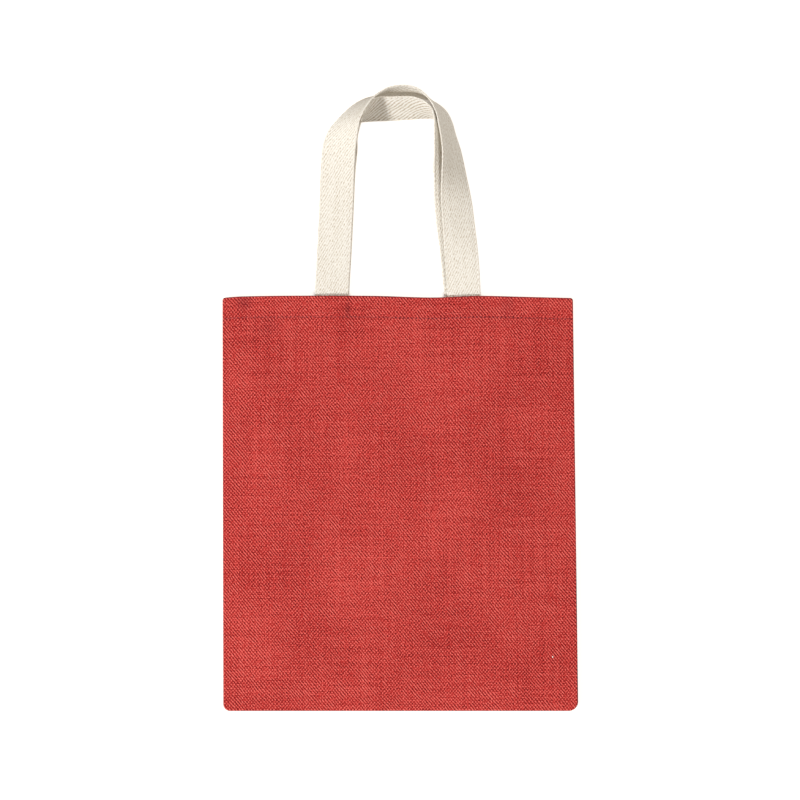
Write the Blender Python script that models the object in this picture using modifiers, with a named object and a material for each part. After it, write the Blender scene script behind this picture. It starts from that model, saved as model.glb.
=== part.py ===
"""Burlap tote bag, empty, lying on its back: two burlap panels and two webbing handles.

Metres, +Z up. The origin is on the surface under the middle of the back panel,
+Y points to the mouth and the handles, and +X is the bag's right as seen from above.
"""

from math import cos, pi, sin

import bmesh
import bpy
from mathutils import Vector

MM = 0.001

# The finished bag, seen from above
HALF_LENGTH = 210.5 * MM
LEFT_EDGE = {"top": -180.4 * MM, "bottom": -179.6 * MM}
RIGHT_EDGE = {"top": 175.8 * MM, "bottom": 181.2 * MM}
CORNER_RADIUS = {"left": 7.0 * MM, "right": 9.5 * MM}
MOUTH_ROUND = 1.2 * MM

# Burlap, its hem and its seam allowances
CLOTH = 1.2 * MM
FOLD_GAP = 0.5 * MM
HEM_DEPTH = 24.0 * MM
EDGE_BEND = 1.1 * MM
ALLOWANCE = 10.0 * MM
ALLOWANCE_STOP = 28.8 * MM
PIECE_GAP = 0.3 * MM

# Webbing
WEBBING_WIDTH = 34.4 * MM
WEBBING = 1.7 * MM

# Heights that follow from the layers
HEM_BEND = (CLOTH + FOLD_GAP) / 2
BACK_LEVEL = CLOTH / 2
FRONT_EDGE_LEVEL = BACK_LEVEL + 4 * EDGE_BEND + CLOTH + PIECE_GAP
EDGE_REACH = EDGE_BEND + CLOTH / 2
HEM_REACH = HEM_BEND + CLOTH / 2
BACK_STRAP_LEVEL = CLOTH + FOLD_GAP + CLOTH + PIECE_GAP + WEBBING / 2
FRONT_STRAP_LEVEL = BACK_STRAP_LEVEL + WEBBING + PIECE_GAP

# How far the front panel stands above its edges along the middle of the bag
LOFT = (
    # share of the length from the bottom, lift
    (0.00, 0.0 * MM),
    (0.06, 3.2 * MM),
    (0.18, 5.6 * MM),
    (0.45, 6.8 * MM),
    (0.75, 6.2 * MM),
    (0.92, 4.6 * MM),
    (1.00, 4.3 * MM),
)
LOFT_SQUARENESS = 2.6

# Soft dents and swells of the front panel, which die away towards its sides and bottom
DENT_SQUARENESS = 8
DENT_RUN_IN = 0.125
DENTS = (
    # x, y, height, half width across, half width along
    (-161 * MM, 199 * MM, -0.9 * MM, 10 * MM, 12 * MM),
    (-112 * MM, 206 * MM, 0.5 * MM, 22 * MM, 16 * MM),
    (-50 * MM, 199 * MM, -0.6 * MM, 7 * MM, 14 * MM),
    (103 * MM, 192 * MM, -0.9 * MM, 15 * MM, 13 * MM),
    (138 * MM, 178 * MM, 0.6 * MM, 16 * MM, 22 * MM),
    (-70 * MM, 95 * MM, -0.8 * MM, 42 * MM, 50 * MM),
    (62 * MM, 40 * MM, 0.7 * MM, 48 * MM, 60 * MM),
    (-95 * MM, -70 * MM, 0.8 * MM, 40 * MM, 55 * MM),
    (85 * MM, -110 * MM, -0.9 * MM, 46 * MM, 40 * MM),
    (-20 * MM, -165 * MM, -0.6 * MM, 60 * MM, 22 * MM),
)

# How far the mouth edge runs out past its level line
MOUTH_WAVE = (
    # x, run-out
    (-180 * MM, -1.0 * MM),
    (-160 * MM, 0.3 * MM),
    (-95 * MM, 0.9 * MM),
    (-25 * MM, 0.6 * MM),
    (33 * MM, -1.0 * MM),
    (80 * MM, 0.7 * MM),
    (125 * MM, -0.2 * MM),
    (176 * MM, -1.3 * MM),
)

# Each handle from its left end to its right one, in mm. The inner edge is drawn to the
# webbing's width from the outer edge, so its columns give the way that the webbing faces.
FRONT_SEAT = FRONT_STRAP_LEVEL / MM
BACK_SEAT = BACK_STRAP_LEVEL / MM
FRONT_HANDLE = (
    # outer edge x, y, z, inner edge x, y, z
    (-87.2, 190.0, FRONT_SEAT, -52.8, 190.2, FRONT_SEAT),
    (-86.8, 206.0, FRONT_SEAT, -52.4, 206.0, FRONT_SEAT),
    (-86.7, 212.0, FRONT_SEAT, -52.3, 212.0, FRONT_SEAT),
    (-84.2, 258.0, 4.8, -49.8, 257.3, 4.8),
    (-81.7, 307.0, 6.5, -47.3, 306.0, 7.5),
    (-80.3, 338.0, 11.0, -45.6, 335.5, 14.5),
    (-78.5, 358.0, 14.0, -44.4, 352.0, 19.5),
    (-75.0, 371.5, 15.5, -43.2, 361.0, 26.5),
    (-69.0, 382.0, 16.0, -42.0, 370.0, 35.0),
    (-60.0, 392.0, 16.0, -40.2, 380.5, 42.7),
    (-50.6, 401.0, 15.0, -37.0, 389.5, 45.0),
    (-41.5, 407.5, 13.0, -33.0, 397.0, 45.0),
    (-31.5, 412.0, 10.0, -27.2, 405.0, 44.0),
    (-20.0, 413.8, 6.0, -19.5, 412.0, 41.0),
    (-8.5, 414.6, 3.0, -10.0, 417.5, 38.0),
    (3.0, 414.6, 0.3, 3.0, 419.8, 35.0),
    (15.5, 413.8, 0.3, 14.0, 418.0, 35.0),
    (26.0, 412.3, 0.3, 22.5, 413.0, 35.0),
    (37.0, 408.0, 0.3, 30.8, 403.7, 34.5),
    (46.5, 400.5, 0.5, 36.2, 392.0, 32.8),
    (52.5, 390.0, 0.6, 38.8, 379.0, 31.0),
    (57.0, 375.0, 0.6, 41.3, 365.0, 30.3),
    (62.2, 359.0, 0.7, 42.4, 351.0, 27.7),
    (68.0, 333.0, 0.7, 41.6, 328.0, 22.3),
    (73.2, 307.5, 1.5, 41.7, 303.5, 14.7),
    (76.6, 281.0, 2.5, 43.7, 278.0, 11.5),
    (79.3, 256.5, 4.6, 45.1, 254.5, 8.3),
    (81.2, 230.0, 5.9, 46.8, 229.0, 6.8),
    (81.9, 212.0, FRONT_SEAT, 47.5, 212.0, FRONT_SEAT),
    (82.0, 206.0, FRONT_SEAT, 47.6, 205.8, FRONT_SEAT),
    (82.4, 190.0, FRONT_SEAT, 48.0, 189.6, FRONT_SEAT),
)
BACK_HANDLE = (
    # outer edge x, y, z, inner edge x, y, z
    (-86.7, 190.0, BACK_SEAT, -52.3, 190.2, BACK_SEAT),
    (-86.3, 206.0, BACK_SEAT, -51.9, 206.0, BACK_SEAT),
    (-86.2, 212.0, BACK_SEAT, -51.8, 212.0, BACK_SEAT),
    (-83.7, 258.0, 1.0, -49.3, 257.4, 1.0),
    (-81.3, 307.0, 1.0, -46.9, 306.0, 1.0),
    (-80.0, 335.0, 1.0, -45.0, 333.5, 1.5),
    (-78.3, 352.0, 1.0, -43.8, 346.0, 4.0),
    (-74.5, 366.0, 0.9, -43.0, 354.0, 10.0),
    (-68.0, 376.0, 0.8, -42.5, 361.5, 20.0),
    (-60.0, 383.0, 0.6, -42.0, 369.5, 28.3),
    (-51.0, 387.0, 0.4, -40.0, 379.0, 33.0),
    (-42.0, 388.8, 0.3, -36.5, 390.0, 35.0),
    (-32.0, 389.6, 0.3, -30.0, 402.0, 33.2),
    (-21.0, 390.0, 0.5, -21.5, 408.0, 30.3),
    (-10.0, 390.4, 0.5, -10.5, 409.3, 29.0),
    (2.0, 391.0, 0.5, 2.0, 409.5, 29.0),
    (14.0, 391.8, 0.5, 13.0, 408.9, 30.0),
    (24.0, 392.6, 0.4, 22.5, 405.4, 32.4),
    (34.5, 392.8, 0.3, 31.1, 397.8, 34.8),
    (43.0, 390.0, 0.4, 34.0, 386.5, 34.0),
    (49.5, 384.0, 0.5, 34.0, 378.0, 31.3),
    (53.0, 374.0, 0.6, 34.0, 367.5, 29.0),
    (57.0, 360.6, 0.7, 34.0, 354.0, 26.0),
    (60.5, 344.0, 0.8, 34.0, 338.5, 21.6),
    (64.3, 328.0, 0.9, 34.2, 323.5, 17.0),
    (67.4, 309.6, 1.0, 35.0, 307.0, 12.0),
    (70.4, 289.0, 1.0, 36.7, 287.0, 7.5),
    (75.3, 256.5, 1.0, 40.9, 254.5, 2.4),
    (79.4, 212.5, BACK_SEAT, 45.0, 212.0, BACK_SEAT),
    (79.6, 206.0, BACK_SEAT, 45.2, 205.8, BACK_SEAT),
    (80.0, 190.0, BACK_SEAT, 45.6, 189.6, BACK_SEAT),
)

# How finely each piece is divided
BEND_STEPS = 4
ALLOWANCE_STEPS = 1
HEM_STEPS = 3
CORNER_STEPS = 2
FRONT_STEPS = (24, 24)
BACK_STEPS = (10, 10)
STRAP_STEPS = 72
STRAP_CELLS = 3


def material(name, colour, roughness):
    """A plain dull cloth finish."""
    finish = bpy.data.materials.new(name)
    finish.use_nodes = True
    shader = finish.node_tree.nodes["Principled BSDF"]
    shader.inputs["Base Color"].default_value = (*colour, 1.0)
    shader.inputs["Roughness"].default_value = roughness
    shader.inputs["Metallic"].default_value = 0.0
    return finish


def smooth_row(rows, where):
    """The row at a place in the first column, on a smooth curve through the rows."""
    last = len(rows) - 2
    index = max(i for i in range(last + 1) if i == 0 or rows[i][0] <= where)
    start, end = rows[index], rows[index + 1]
    before = rows[max(index - 1, 0)]
    after = rows[min(index + 2, last + 1)]
    span = end[0] - start[0]
    u = (where - start[0]) / span
    result = []
    for column in range(1, len(start)):
        slope_in = (end[column] - before[column]) / (end[0] - before[0])
        slope_out = (after[column] - start[column]) / (after[0] - start[0])
        value = (2 * u**3 - 3 * u**2 + 1) * start[column]
        value += (u**3 - 2 * u**2 + u) * span * slope_in
        value += (3 * u**2 - 2 * u**3) * end[column]
        value += (u**3 - u**2) * span * slope_out
        result.append(value)
    return result


def turned(over, radius):
    """How far a fold stands out and how deep it goes, at a length of cloth past its start."""
    angle = min(max(over, 0.0), pi * radius) / radius
    out = radius * sin(angle) - max(over - pi * radius, 0.0)
    return out, radius * (1 - cos(angle))


def fold_stations(radius, run, run_steps):
    """Lengths of cloth past a fold's start: round the bend, then along the turned-in run."""
    bend = pi * radius
    stations = [bend * k / BEND_STEPS for k in range(1, BEND_STEPS + 1)]
    return stations + [bend + run * k / run_steps for k in range(1, run_steps + 1)]


def spread(low, high, steps):
    """Places between two ends, closer together towards the ends."""
    middle, half = (low + high) / 2, (high - low) / 2
    places = []
    for k in range(steps + 1):
        share = 2 * k / steps - 1
        places.append(middle + half * (share + sin(pi * share / 2)) / 2)
    return places


def side_edges(y):
    """Where the sides' bends start at this distance from the middle of the bag."""
    share = (HALF_LENGTH - y) / (2 * HALF_LENGTH)
    left = LEFT_EDGE["top"] + share * (LEFT_EDGE["bottom"] - LEFT_EDGE["top"])
    right = RIGHT_EDGE["top"] + share * (RIGHT_EDGE["bottom"] - RIGHT_EDGE["top"])
    return left + EDGE_REACH, right - EDGE_REACH


def front_height(x, y):
    """Middle of the front panel's cloth: lofted over the bag, low at its edges."""
    left, right = side_edges(y)
    across = max(-1.0, min(1.0, (2 * x - left - right) / (right - left)))
    bottom = -HALF_LENGTH + EDGE_REACH
    along = max(0.0, min(1.0, (y - bottom) / (HALF_LENGTH - HEM_REACH - bottom)))
    lift = smooth_row(LOFT, along)[0] * (1 - abs(across) ** LOFT_SQUARENESS)
    inside = (1 - across**DENT_SQUARENESS) * min(1.0, along / DENT_RUN_IN)
    for dent_x, dent_y, height, wide, long in DENTS:
        reach = ((x - dent_x) / wide) ** 2 + ((y - dent_y) / long) ** 2
        lift += inside * height / (1 + reach) ** 2
    return FRONT_EDGE_LEVEL + lift


def back_height(x, y):
    """Middle of the back panel's cloth, flat on the surface."""
    return BACK_LEVEL


def panel(name, height, inwards, steps, finish):
    """One panel: hem turned in at the mouth, allowances turned in at the sides and bottom.

    inwards is +1 where the inside of the bag is above the cloth and -1 where it is below.
    The grid's outer cells are rings round the panel: two in each rounded corner, then the
    bend of the fold, then the turned-in run, which is clipped away at the four corners.
    """
    bend_cells = CORNER_STEPS + BEND_STEPS
    allowance_ring = bend_cells + ALLOWANCE_STEPS
    hem_ring = bend_cells + HEM_STEPS
    columns = 2 * allowance_ring + steps[0]
    rows = allowance_ring + steps[1] + hem_ring
    seams = [0.0] * (CORNER_STEPS + 1) + fold_stations(EDGE_BEND, ALLOWANCE, ALLOWANCE_STEPS)
    hems = [0.0] * (CORNER_STEPS + 1) + fold_stations(HEM_BEND, HEM_DEPTH, HEM_STEPS)
    bottom_line = -HALF_LENGTH + EDGE_REACH
    mouth_line = HALF_LENGTH - HEM_REACH

    def rings(i, j):
        """How many rings past the panel's plain middle: to the side, bottom and mouth."""
        aside = max(allowance_ring - i, i - (columns - allowance_ring), 0)
        return aside, max(allowance_ring - j, 0), max(j - (rows - hem_ring), 0)

    def place(i, j):
        """The middle of the cloth at a column and row of the flat panel."""
        aside, below, above = rings(i, j)
        hand = "left" if i < columns / 2 else "right"
        ring = max(aside, below, above)
        fold = max(below, above)
        turn = pi / 4 * min(aside, fold) / ring if ring else 0.0
        if fold > aside:
            turn = pi / 2 - turn
        share = sin(turn) ** 2 if above else 0.0
        over = seams[min(ring, allowance_ring)] * (1 - share) + hems[ring] * share
        out, drop = turned(over, EDGE_BEND * (1 - share) + HEM_BEND * share)

        bottom_round = CORNER_RADIUS[hand] - EDGE_REACH
        inner_rows = spread(bottom_line + bottom_round, mouth_line - MOUTH_ROUND, steps[1])
        y = inner_rows[min(max(j - allowance_ring, 0), steps[1])]
        mouthward = (y - inner_rows[0]) / (inner_rows[-1] - inner_rows[0])
        corner = bottom_round + mouthward * (MOUTH_ROUND - bottom_round)
        radius = corner * min(ring / CORNER_STEPS, 1.0) + out
        left, right = side_edges(y)
        if aside:
            x = left + corner if hand == "left" else right - corner
            x += radius * cos(turn) * (1 if hand == "right" else -1)
        else:
            x = spread(left + corner, right - corner, steps[0])[i - allowance_ring]
        if fold:
            y += radius * sin(turn) * (1 if above else -1)
        surface = height(min(max(x, left), right), min(max(y, bottom_line), mouth_line))
        wave = smooth_row(MOUTH_WAVE, x)[0] * mouthward
        return Vector((x, y + wave, surface + inwards * drop))

    def kept(i, j):
        """Whether the cell between this column and row and the next ones is cloth."""
        aside, below, above = (max(pair) for pair in zip(rings(i, j), rings(i + 1, j + 1)))
        if aside and max(below, above) > bend_cells:
            return False
        past_allowance = place(columns // 2, j + 1).y > mouth_line - ALLOWANCE_STOP
        return not (aside > bend_cells and (below or past_allowance))

    sheet = bmesh.new()
    bmesh.ops.create_grid(sheet, x_segments=columns, y_segments=rows, size=1.0)
    clipped = []
    for face in sheet.faces:
        middle = face.calc_center_median()
        i = int((middle.x + 1) / 2 * columns)
        j = int((middle.y + 1) / 2 * rows)
        if not kept(i, j):
            clipped.append(face)
    for vert in sheet.verts:
        i = round((vert.co.x + 1) / 2 * columns)
        j = round((vert.co.y + 1) / 2 * rows)
        vert.co = place(i, j)
    bmesh.ops.delete(sheet, geom=clipped, context="FACES")
    return finished(name, sheet, CLOTH, finish)


def handle(name, rows, finish):
    """One length of webbing, flat where it is sewn in and turned on edge at its top."""
    middles = [Vector(row[:3]).lerp(Vector(row[3:]), 0.5) for row in rows]
    runs = [0.0]
    for start, end in zip(middles, middles[1:]):
        runs.append(runs[-1] + (end - start).length)
    table = [(run, *row) for run, row in zip(runs, rows)]

    strip = bmesh.new()
    bmesh.ops.create_grid(strip, x_segments=STRAP_STEPS, y_segments=STRAP_CELLS, size=1.0)
    for vert in strip.verts:
        along = (vert.co.x + 1) / 2 * runs[-1]
        across = (1 - vert.co.y) / 2
        edges = smooth_row(table, along)
        outer, inner = Vector(edges[:3]), Vector(edges[3:])
        facing = (inner - outer).normalized()
        vert.co = outer * MM + facing * across * WEBBING_WIDTH
    return finished(name, strip, WEBBING, finish)


def finished(name, sheet, thickness, finish):
    """The sheet as a named piece of cloth with its thickness to both sides."""
    mesh = bpy.data.meshes.new(name)
    sheet.to_mesh(mesh)
    sheet.free()
    mesh.materials.append(finish)
    mesh.shade_smooth()
    piece = bpy.data.objects.new(name, mesh)
    bag.objects.link(piece)
    wall = piece.modifiers.new("thickness", "SOLIDIFY")
    wall.thickness = thickness
    wall.offset = 0.0
    wall.use_even_offset = True
    return piece


for thing in list(bpy.data.objects):
    bpy.data.objects.remove(thing, do_unlink=True)

bag = bpy.data.collections.new("burlap_bag")
bpy.context.scene.collection.children.link(bag)

red_burlap = material("red_burlap", (0.55, 0.065, 0.052), 0.95)
cream_webbing = material("cream_webbing", (0.86, 0.80, 0.69), 0.9)

panel("back_panel", back_height, 1, BACK_STEPS, red_burlap)
panel("front_panel", front_height, -1, FRONT_STEPS, red_burlap)
handle("back_handle", BACK_HANDLE, cream_webbing)
handle("front_handle", FRONT_HANDLE, cream_webbing)
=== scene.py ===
from math import cos, exp, pi, sin

import bmesh
import bpy
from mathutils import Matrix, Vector


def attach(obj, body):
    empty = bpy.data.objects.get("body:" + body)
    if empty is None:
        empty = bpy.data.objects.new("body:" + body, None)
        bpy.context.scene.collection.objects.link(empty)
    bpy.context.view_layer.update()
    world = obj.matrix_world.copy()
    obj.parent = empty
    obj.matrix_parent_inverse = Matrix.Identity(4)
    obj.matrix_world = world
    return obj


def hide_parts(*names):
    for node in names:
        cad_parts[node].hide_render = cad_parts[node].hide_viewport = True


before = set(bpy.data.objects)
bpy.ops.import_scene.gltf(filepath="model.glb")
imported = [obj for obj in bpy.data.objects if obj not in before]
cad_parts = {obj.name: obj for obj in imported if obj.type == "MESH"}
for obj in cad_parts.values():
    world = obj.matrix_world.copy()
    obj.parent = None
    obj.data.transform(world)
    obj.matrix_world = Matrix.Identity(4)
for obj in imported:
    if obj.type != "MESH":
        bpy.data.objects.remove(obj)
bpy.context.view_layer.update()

# --- The photograph's view -------------------------------------------------------------
# The empty bag lies on its back on a white surface and is seen from straight above,
# under soft studio light that comes mostly from the lower left.

MM = 0.001
PIXEL = 1.02 * MM
FRAME_PIXELS = 800
PANEL_MIDDLE_ROW = 503.5
PHOTO_MIDDLE_Y = (PANEL_MIDDLE_ROW - FRAME_PIXELS / 2) * PIXEL
CAMERA_HEIGHT = 1.6
SENSOR_WIDTH = 36.0


def scene_object(name, data):
    """A new object of this name, shown in the scene."""
    thing = bpy.data.objects.new(name, data)
    bpy.context.scene.collection.objects.link(thing)
    return thing


camera_data = bpy.data.cameras.new("camera")
camera_data.sensor_width = SENSOR_WIDTH
camera_data.lens = SENSOR_WIDTH * CAMERA_HEIGHT / (FRAME_PIXELS * PIXEL)
camera = scene_object("camera", camera_data)
camera.location = (0.0, PHOTO_MIDDLE_Y, CAMERA_HEIGHT)
bpy.context.scene.camera = camera

FLOOR_SIZE = 30.0
FLOOR_COLOUR = (0.55, 0.47, 0.37, 1.0)
FLOOR_ROUGHNESS = 0.9
FLOOR_GLOW = 0.80
GLOW_COLOUR = (1.0, 1.0, 1.0, 1.0)
# The glow fades in narrow slots under the cloth: the reach within which cloth counts, and
# the open share of the view at which the glow is gone and at which it is whole
SLOT_REACH = 25 * MM
SLOT_DARK = 0.12
SLOT_OPEN = 0.42

floor_mesh = bpy.data.meshes.new("floor")
half = FLOOR_SIZE / 2
floor_corners = [(-half, -half, 0), (half, -half, 0), (half, half, 0), (-half, half, 0)]
floor_mesh.from_pydata(floor_corners, [], [(0, 1, 2, 3)])
floor = scene_object("floor", floor_mesh)
floor_finish = bpy.data.materials.new("white_light_table")
floor_finish.use_nodes = True
floor_shader = floor_finish.node_tree.nodes["Principled BSDF"]
floor_shader.inputs["Base Color"].default_value = FLOOR_COLOUR
floor_shader.inputs["Roughness"].default_value = FLOOR_ROUGHNESS
floor_shader.inputs["Emission Color"].default_value = GLOW_COLOUR
floor_tree = floor_finish.node_tree
openness = floor_tree.nodes.new("ShaderNodeAmbientOcclusion")
openness.inputs["Distance"].default_value = SLOT_REACH
glow = floor_tree.nodes.new("ShaderNodeMapRange")
glow.inputs["From Min"].default_value = SLOT_DARK
glow.inputs["From Max"].default_value = SLOT_OPEN
glow.inputs["To Max"].default_value = FLOOR_GLOW
floor_tree.links.new(openness.outputs["AO"], glow.inputs["Value"])
floor_tree.links.new(glow.outputs["Result"], floor_shader.inputs["Emission Strength"])
floor_mesh.materials.append(floor_finish)
floor.visible_diffuse = False

SKY_HORIZON = 0.55
SKY_ZENITH = 0.32
SKY_FADE = 0.25
SKY_COLOUR = (1.0, 0.925, 0.84, 1.0)
LAMPS = (
    # name, place, side, power, colour
    ("key_lamp", (-5.8, -3.2, 5.6), 1.25, 560.0, (1.0, 1.0, 1.0)),
    ("fill_lamp", (3.4, 2.0, 7.3), 2.80, 232.0, (1.0, 0.975, 0.94)),
)

world = bpy.data.worlds.new("studio")
world.use_nodes = True
sky = world.node_tree
backdrop = sky.nodes["Background"]
sky_direction = sky.nodes.new("ShaderNodeTexCoord")
sky_height = sky.nodes.new("ShaderNodeSeparateXYZ")
sky_level = sky.nodes.new("ShaderNodeMapRange")
sky_level.inputs["From Max"].default_value = SKY_FADE
sky_level.inputs["To Min"].default_value = SKY_HORIZON
sky_level.inputs["To Max"].default_value = SKY_ZENITH
sky.links.new(sky_direction.outputs["Generated"], sky_height.inputs[0])
sky.links.new(sky_height.outputs["Z"], sky_level.inputs["Value"])
sky.links.new(sky_level.outputs["Result"], backdrop.inputs["Strength"])
backdrop.inputs["Color"].default_value = SKY_COLOUR
bpy.context.scene.world = world

for lamp_name, lamp_place, lamp_side, lamp_power, lamp_colour in LAMPS:
    lamp_data = bpy.data.lights.new(lamp_name, "AREA")
    lamp_data.size = lamp_side
    lamp_data.energy = lamp_power
    lamp_data.color = lamp_colour
    lamp = scene_object(lamp_name, lamp_data)
    lamp.location = lamp_place
    lamp.rotation_euler = (-Vector(lamp_place)).to_track_quat("-Z", "Y").to_euler()
bpy.context.scene.view_settings.view_transform = "Standard"


# --- The burlap panels -----------------------------------------------------------------
# Two panels of red plain-weave burlap, 1.2 mm thick. Each has a 24 mm hem turned in at the
# mouth and 10 mm allowances turned in at the sides and bottom, where the two are sewn
# together. The back panel lies flat, and the front one is lofted a little over it.

HALF_LENGTH = 210.5 * MM
LEFT_EDGE = {"top": -180.4 * MM, "bottom": -179.6 * MM}
RIGHT_EDGE = {"top": 175.8 * MM, "bottom": 181.2 * MM}
CORNER_RADIUS = {"left": 7.0 * MM, "right": 9.5 * MM}
MOUTH_ROUND = 1.2 * MM

CLOTH = 1.2 * MM
FOLD_GAP = 0.5 * MM
HEM_DEPTH = 24.0 * MM
EDGE_BEND = 1.1 * MM
ALLOWANCE = 10.0 * MM
ALLOWANCE_STOP = 28.8 * MM
PIECE_GAP = 0.3 * MM

HEM_BEND = (CLOTH + FOLD_GAP) / 2
BACK_LEVEL = CLOTH / 2
FRONT_EDGE_LEVEL = BACK_LEVEL + 4 * EDGE_BEND + CLOTH + PIECE_GAP
EDGE_REACH = EDGE_BEND + CLOTH / 2
HEM_REACH = HEM_BEND + CLOTH / 2
RIGHT_LEAN = (RIGHT_EDGE["top"] - RIGHT_EDGE["bottom"]) / (2 * HALF_LENGTH)
BOTTOM_LINE = -HALF_LENGTH + EDGE_REACH
MOUTH_LINE = HALF_LENGTH - HEM_REACH

LOFT = (
    # share of the length from the bottom, lift
    (0.00, 0.0 * MM),
    (0.06, 3.2 * MM),
    (0.18, 5.6 * MM),
    (0.45, 6.8 * MM),
    (0.75, 6.2 * MM),
    (0.92, 4.6 * MM),
    (1.00, 4.3 * MM),
)
LOFT_SQUARENESS = 2.6
DENT_SQUARENESS = 8
DENT_RUN_IN = 0.125
DENTS = (
    # x, y, height, half width across, half width along
    (-161 * MM, 199 * MM, -0.9 * MM, 10 * MM, 12 * MM),
    (-112 * MM, 206 * MM, 0.5 * MM, 22 * MM, 16 * MM),
    (-50 * MM, 199 * MM, -0.6 * MM, 7 * MM, 14 * MM),
    (103 * MM, 192 * MM, -0.9 * MM, 15 * MM, 13 * MM),
    (138 * MM, 178 * MM, 0.6 * MM, 16 * MM, 22 * MM),
    (-70 * MM, 95 * MM, -0.8 * MM, 42 * MM, 50 * MM),
    (62 * MM, 40 * MM, 0.7 * MM, 48 * MM, 60 * MM),
    (-95 * MM, -70 * MM, 0.8 * MM, 40 * MM, 55 * MM),
    (85 * MM, -110 * MM, -0.9 * MM, 46 * MM, 40 * MM),
    (-20 * MM, -165 * MM, -0.6 * MM, 60 * MM, 22 * MM),
)
MOUTH_WAVE = (
    # x, how far the mouth edge runs out past its level line
    (-180 * MM, -1.0 * MM),
    (-160 * MM, 0.3 * MM),
    (-95 * MM, 0.9 * MM),
    (-25 * MM, 0.6 * MM),
    (33 * MM, -1.0 * MM),
    (80 * MM, 0.7 * MM),
    (125 * MM, -0.2 * MM),
    (176 * MM, -1.3 * MM),
)

STITCH_LINE = 189.0 * MM
STITCH_PITCH = 4.1 * MM
STITCH_DENT = 0.35 * MM
STITCH_DENT_WIDTH = 1.5 * MM
PUCKER = 0.12 * MM
PUCKER_REACH = 8.0 * MM
# Two slow waves whose product gives the puckers their uneven heights, in stitches
PUCKER_WAVES = (2.3, 5.1)
PUCKER_SHIFT = 1.3

SEWN_ENDS = (
    # left and right edges of the webbing under the front panel's hem
    (-87.0 * MM, -52.5 * MM),
    (47.5 * MM, 82.2 * MM),
)
SEWN_END_STOP = 190.0 * MM
SEWN_END_SWELL = 0.55 * MM
SEWN_END_SOFTNESS = 1.6 * MM
STEEPEST = 30.0

BEND_STEPS = 6
ALLOWANCE_STEPS = 3
HEM_STEPS = 8
CORNER_STEPS = 3


def smooth_row(rows, where):
    """The row at a place in the first column, on a smooth curve through the rows."""
    last = len(rows) - 2
    index = max(i for i in range(last + 1) if i == 0 or rows[i][0] <= where)
    start, end = rows[index], rows[index + 1]
    before = rows[max(index - 1, 0)]
    after = rows[min(index + 2, last + 1)]
    span = end[0] - start[0]
    u = (where - start[0]) / span
    result = []
    for column in range(1, len(start)):
        slope_in = (end[column] - before[column]) / (end[0] - before[0])
        slope_out = (after[column] - start[column]) / (after[0] - start[0])
        value = (2 * u**3 - 3 * u**2 + 1) * start[column]
        value += (u**3 - 2 * u**2 + u) * span * slope_in
        value += (3 * u**2 - 2 * u**3) * end[column]
        value += (u**3 - u**2) * span * slope_out
        result.append(value)
    return result


def turned(over, radius):
    """How far a fold stands out and how deep it goes, at a length of cloth past its start."""
    angle = min(max(over, 0.0), pi * radius) / radius
    out = radius * sin(angle) - max(over - pi * radius, 0.0)
    return out, radius * (1 - cos(angle))


def fold_stations(radius, run, run_steps):
    """Lengths of cloth past a fold's start: round the bend, then along the turned-in run."""
    bend = pi * radius
    stations = [bend * k / BEND_STEPS for k in range(1, BEND_STEPS + 1)]
    return stations + [bend + run * k / run_steps for k in range(1, run_steps + 1)]


def spread(low, high, steps):
    """Places between two ends, closer together towards the ends."""
    middle, half_span = (low + high) / 2, (high - low) / 2
    places = []
    for k in range(steps + 1):
        share = 2 * k / steps - 1
        places.append(middle + half_span * (share + sin(pi * share / 2)) / 2)
    return places


def side_edges(y):
    """Where the sides' bends start at this distance from the middle of the bag."""
    share = (HALF_LENGTH - y) / (2 * HALF_LENGTH)
    left = LEFT_EDGE["top"] + share * (LEFT_EDGE["bottom"] - LEFT_EDGE["top"])
    right = RIGHT_EDGE["top"] + share * (RIGHT_EDGE["bottom"] - RIGHT_EDGE["top"])
    return left + EDGE_REACH, right - EDGE_REACH


def sewn_relief(x, y):
    """The shallow groove that the hem's stitches pull into the cloth, and its puckers."""
    away = abs(y - STITCH_LINE)
    groove = -STITCH_DENT * exp(-((away / STITCH_DENT_WIDTH) ** 2))
    phase = 2 * pi * x / STITCH_PITCH
    wander = sin(phase / PUCKER_WAVES[0] + PUCKER_SHIFT) * sin(phase / PUCKER_WAVES[1])
    return groove + PUCKER * wander * exp(-((away / PUCKER_REACH) ** 2))


def sewn_end_swell(x, y):
    """How the webbing's sewn-in ends show through the hem over them."""

    def soft_step(distance):
        """0 well before an edge, 1 well past it."""
        power = distance / SEWN_END_SOFTNESS * 2
        return 1 / (1 + exp(-max(-STEEPEST, min(STEEPEST, power))))

    covered = sum(soft_step(x - low) * soft_step(high - x) for low, high in SEWN_ENDS)
    return SEWN_END_SWELL * covered * soft_step(y - SEWN_END_STOP)


def front_height(x, y):
    """Middle of the front panel's cloth: lofted over the bag, low at its edges."""
    left, right = side_edges(y)
    across = max(-1.0, min(1.0, (2 * x - left - right) / (right - left)))
    along = max(0.0, min(1.0, (y - BOTTOM_LINE) / (MOUTH_LINE - BOTTOM_LINE)))
    lift = smooth_row(LOFT, along)[0] * (1 - abs(across) ** LOFT_SQUARENESS)
    inside = (1 - across**DENT_SQUARENESS) * min(1.0, along / DENT_RUN_IN)
    for dent_x, dent_y, height, wide, long in DENTS:
        reach = ((x - dent_x) / wide) ** 2 + ((y - dent_y) / long) ** 2
        lift += inside * height / (1 + reach) ** 2
    return FRONT_EDGE_LEVEL + lift + inside * (sewn_relief(x, y) + sewn_end_swell(x, y))


def back_height(x, y):
    """Middle of the back panel's cloth, flat on the surface."""
    return BACK_LEVEL


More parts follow.
